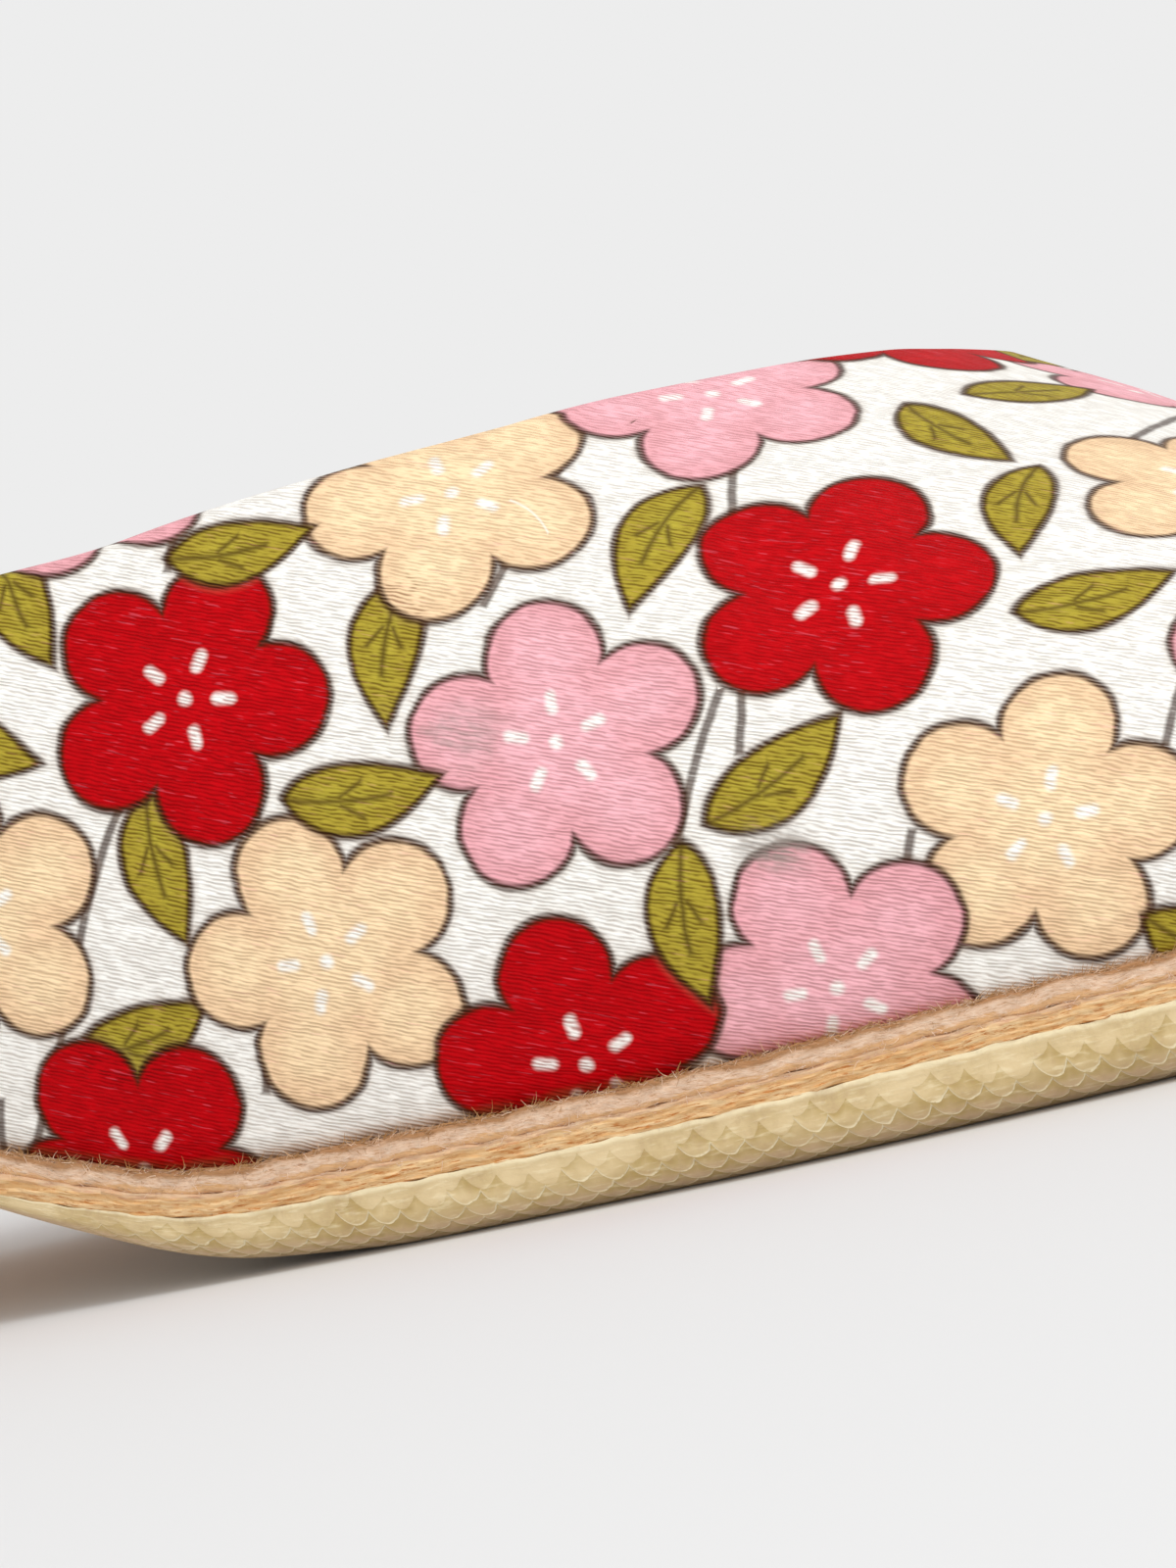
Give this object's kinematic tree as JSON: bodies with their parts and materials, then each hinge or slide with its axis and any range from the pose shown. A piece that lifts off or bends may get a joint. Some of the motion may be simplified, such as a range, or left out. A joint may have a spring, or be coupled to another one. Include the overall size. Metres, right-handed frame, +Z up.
{
  "type": "slingback heel",
  "caption": "Right slingback pump: low-cut printed satin vamp on a pointed last, sling round the ankle, slim covered heel, leather sole with rubber forepart.",
  "frame": {"origin": "on the floor under the ball of the foot, on the tread's flat face", "axes": "+X to the toe, +Y to the inner side of the foot, +Z up"},
  "size_m": [0.2373, 0.077, 0.1005],
  "materials": {
    "printed_satin": "printed satin, fine ribs along the vamp",
    "strap_satin": "printed satin",
    "heel_satin": "printed satin stretched over the heel",
    "sock_leather": "smooth matt lining leather",
    "fibre_edge": "raw fibrous edge, brown lilac",
    "sole_leather": "tan sole leather",
    "tread_rubber": "matt natural rubber with a scale tread",
    "lift_rubber": "matt heel tip"
  },
  "bodies": {
    "root": {"upper": "printed_satin", "sling_strap": "strap_satin", "insole": "sock_leather", "midsole": "fibre_edge", "outsole": "sole_leather", "half_sole": "tread_rubber", "heel": "heel_satin", "top_lift": "lift_rubber"}
  },
  "joints": []
}
